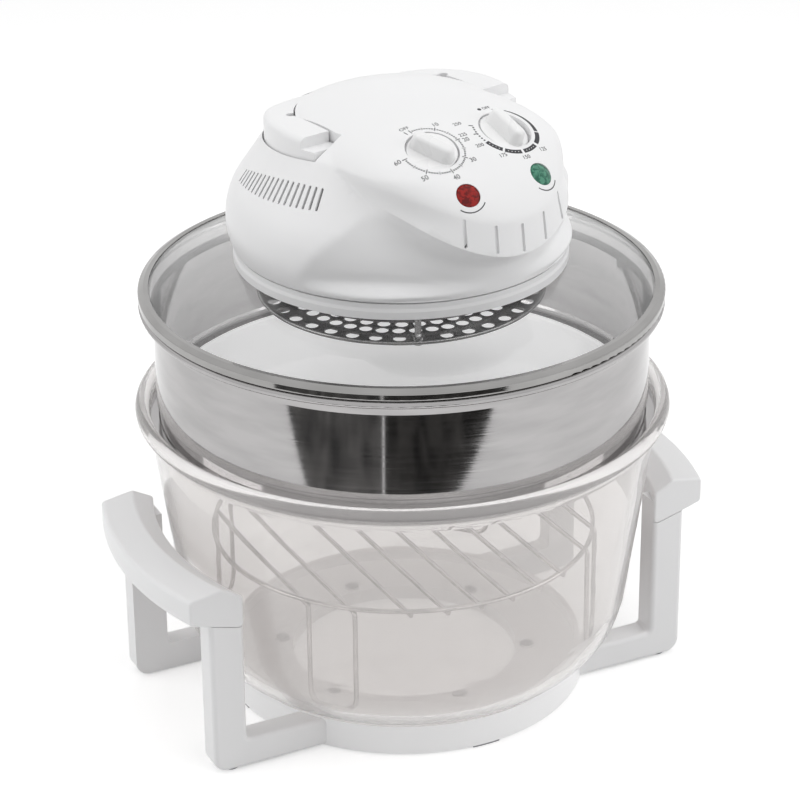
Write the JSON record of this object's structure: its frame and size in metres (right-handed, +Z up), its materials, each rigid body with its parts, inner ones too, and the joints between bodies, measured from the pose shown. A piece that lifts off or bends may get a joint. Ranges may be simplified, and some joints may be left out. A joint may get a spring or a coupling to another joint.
{
  "type": "halogen oven",
  "caption": "Countertop halogen oven: glass bowl in a footed base, steel extension ring, glass lid with fan heater head, dials and a folding bail handle.",
  "frame": {"origin": "on the surface the oven stands on, under the bowl's centre", "axes": "+Z up, -Y front of the base, side handles at -X and +X"},
  "size_m": [0.374, 0.33, 0.391],
  "materials": {
    "white_plastic": "smooth satin white moulding",
    "knob_plastic": "smooth white moulding",
    "smoky_glass": "smoky tempered glass",
    "clear_glass": "clear tempered glass",
    "polished_steel": "mirror polished stainless steel",
    "steel": "plain bright steel",
    "rack_wire": "chromed wire",
    "white_enamel": "white coated tray",
    "silicone": "translucent silicone",
    "rubber": "soft grey rubber",
    "ceramic": "unglazed ceramic",
    "motor_iron": "laminated iron with a wound coil",
    "grey_plastic": "moulded engineering plastic",
    "red_lens": "transparent red jewel lens",
    "green_lens": "transparent green jewel lens"
  },
  "bodies": {
    "base": {"base_ring": "white_plastic", "front_left_leg": "white_plastic", "rear_left_leg": "white_plastic", "front_right_leg": "white_plastic", "rear_right_leg": "white_plastic", "left_handle": "white_plastic", "right_handle": "white_plastic", "leg_screws": "steel", "handle_screws": "steel", "rubber_feet": "rubber", "bowl_pads": "silicone"},
    "bowl": {"glass_bowl": "smoky_glass"},
    "rack": {"wire_rack": "rack_wire"},
    "ring": {"extension_ring": "polished_steel"},
    "tray": {"round_tray": "white_enamel"},
    "lid": {"lid_glass": "clear_glass", "lid_rim_band": "polished_steel", "head_gasket": "silicone", "lower_housing": "white_plastic", "heat_shield": "steel", "reflector_pan": "polished_steel", "halogen_lamp": "clear_glass", "lamp_end_caps": "ceramic", "lamp_clips": "steel", "guard_plate": "steel", "guard_struts": "steel", "guard_nuts": "steel", "motor": "motor_iron", "motor_bracket": "steel", "timer_unit": "grey_plastic", "timer_bell": "steel", "thermostat_unit": "grey_plastic", "thermostat_bulb": "steel", "power_lens": "red_lens", "heat_lens": "green_lens", "neon_lamps": "clear_glass", "top_shell": "white_plastic", "handle_pins": "steel", "safety_switch": "grey_plastic", "terminal_block": "grey_plastic", "thermal_fuse": "grey_plastic", "shell_screws": "steel", "cord_gland": "rubber"},
    "rotor": {"motor_shaft": "steel", "convection_fan": "steel", "fan_nut": "steel", "cooling_fan": "grey_plastic"},
    "time_dial": {"timer_spindle": "steel", "time_knob": "knob_plastic"},
    "temp_dial": {"thermostat_spindle": "steel", "temp_knob": "knob_plastic"},
    "handle": {"bail_handle": "white_plastic"},
    "plunger": {"switch_plunger": "grey_plastic"}
  },
  "joints": [
    {"name": "bowl_lift", "type": "slide", "parent": "base", "child": "bowl", "axis": [0, 0, 1], "range_m": [0, 0.15]},
    {"name": "ring_lift", "type": "slide", "parent": "bowl", "child": "ring", "axis": [0, 0, 1], "range_m": [0, 0.36]},
    {"name": "rack_lift", "type": "slide", "parent": "bowl", "child": "rack", "axis": [0, 0, 1], "range_m": [0, 0.18]},
    {"name": "lid_lift", "type": "slide", "parent": "ring", "child": "lid", "axis": [0, 0, 1], "range_m": [0, 0.2]},
    {"name": "tray_lift", "type": "slide", "parent": "ring", "child": "tray", "axis": [0, 0, 1], "range_m": [0, 0.1]},
    {"name": "handle_fold", "type": "hinge", "parent": "lid", "child": "handle", "pos_m": [0.00134, -0.00687, 0.3685], "axis": [0.9816, 0.1908, 0], "range_deg": [0, 90]},
    {"name": "plunger_travel", "type": "slide", "parent": "lid", "child": "plunger", "axis": [0, 0, 1], "range_m": [0, 0.003]},
    {"name": "timer_turn", "type": "hinge", "parent": "lid", "child": "time_dial", "pos_m": [-0.01462, -0.07099, 0.3769], "axis": [0.0598, 0.4219, -0.9047], "range_deg": [0, 290]},
    {"name": "thermostat_turn", "type": "hinge", "parent": "lid", "child": "temp_dial", "pos_m": [0.03701, -0.06096, 0.3769], "axis": [-0.2135, 0.3688, -0.9047], "range_deg": [0, 300]},
    {"name": "fan_spin", "type": "hinge", "parent": "lid", "child": "rotor", "pos_m": [0, 0, 0.3], "axis": [0, 0, 1], "continuous": true}
  ],
  "couplings": [
    {"joint": "rack_lift", "follows": "ring_lift", "ratio": 0.5},
    {"joint": "tray_lift", "follows": "lid_lift", "ratio": 0.5},
    {"joint": "plunger_travel", "follows": "handle_fold", "m_per_rad": 0.0019}
  ]
}
